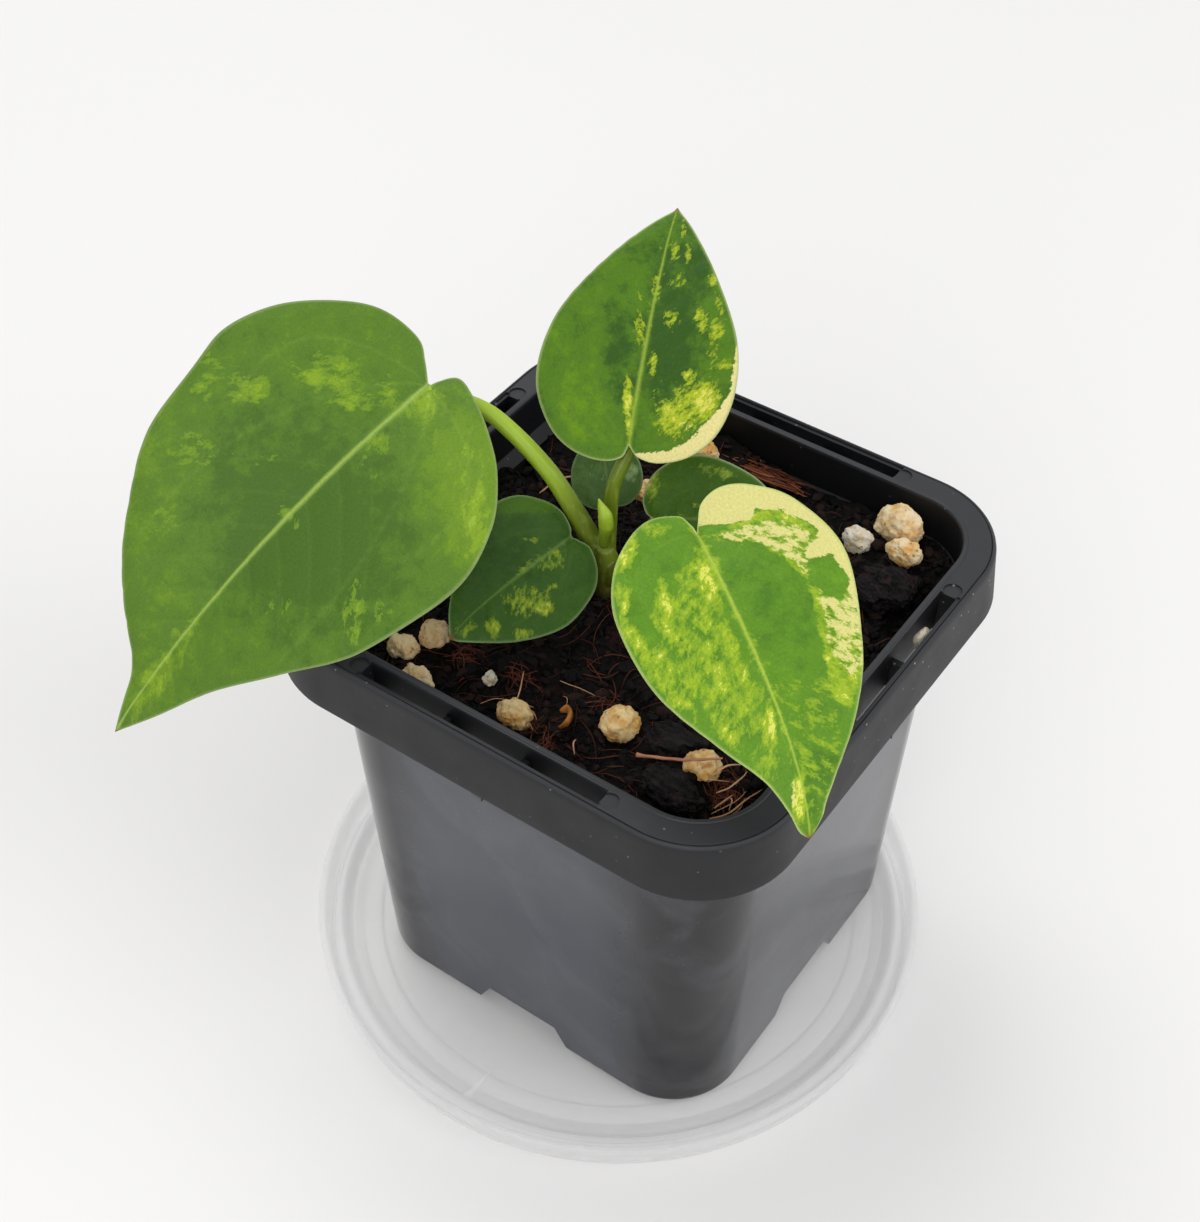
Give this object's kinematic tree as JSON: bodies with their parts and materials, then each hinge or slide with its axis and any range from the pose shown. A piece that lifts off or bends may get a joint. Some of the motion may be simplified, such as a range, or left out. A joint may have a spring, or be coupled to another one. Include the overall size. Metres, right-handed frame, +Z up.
{
  "type": "potted anthurium forgetii hybrid",
  "caption": "Young variegated anthurium with velvety heart-shaped leaves in a square nursery pot with a slotted rim, on a round translucent saucer.",
  "frame": {"origin": "on the table under the middle of the pot, in the plane of the saucer's underside", "axes": "+Z up; the pot's sides are parallel to X and Y; the picture's front left side of the pot faces -Y and its right side faces +X"},
  "size_m": [0.1055, 0.1034, 0.1141],
  "materials": {
    "saucer_plastic": "thin translucent moulded plastic",
    "pot_plastic": "satin black injection moulded plastic",
    "growing_mix": "moist dark bark and fibre",
    "pumice": "rough porous stone",
    "bark": "charred looking bark",
    "coir": "dry brown fibre",
    "twig": "dry twig",
    "leaf_green": "velvety leaf with a satin sheen",
    "leaf_half_marbled": "velvety leaf, marbled yellow on one half",
    "leaf_marbled": "velvety leaf, marbled cream and yellow",
    "leaf_dark": "dark velvety leaf",
    "leaf_grey_green": "greyish velvety leaf",
    "stalk": "fresh smooth stalk",
    "bud": "fresh young leaf"
  },
  "bodies": {
    "root": {"saucer": "saucer_plastic", "pot": "pot_plastic", "growing_mix": "growing_mix", "pumice_grain_1": "pumice", "pumice_grain_2": "pumice", "pumice_grain_3": "pumice", "pumice_grain_4": "pumice", "pumice_grain_5": "pumice", "pumice_grain_6": "pumice", "pumice_grain_7": "pumice", "pumice_grain_8": "pumice", "pumice_grain_9": "pumice", "pumice_grain_10": "pumice", "pumice_grain_11": "pumice", "pumice_grain_12": "pumice", "slot_grain": "pumice", "bark_chunk_1": "bark", "bark_chunk_2": "bark", "bark_chunk_3": "bark", "coir_tuft": "coir", "twig": "twig", "leaf_large": "leaf_green", "leaf_upright": "leaf_half_marbled", "leaf_marbled": "leaf_marbled", "leaf_low": "leaf_dark", "leaf_back": "leaf_dark", "leaf_tiny": "leaf_grey_green", "stem_and_stalks": "stalk", "bud": "bud"}
  },
  "joints": []
}
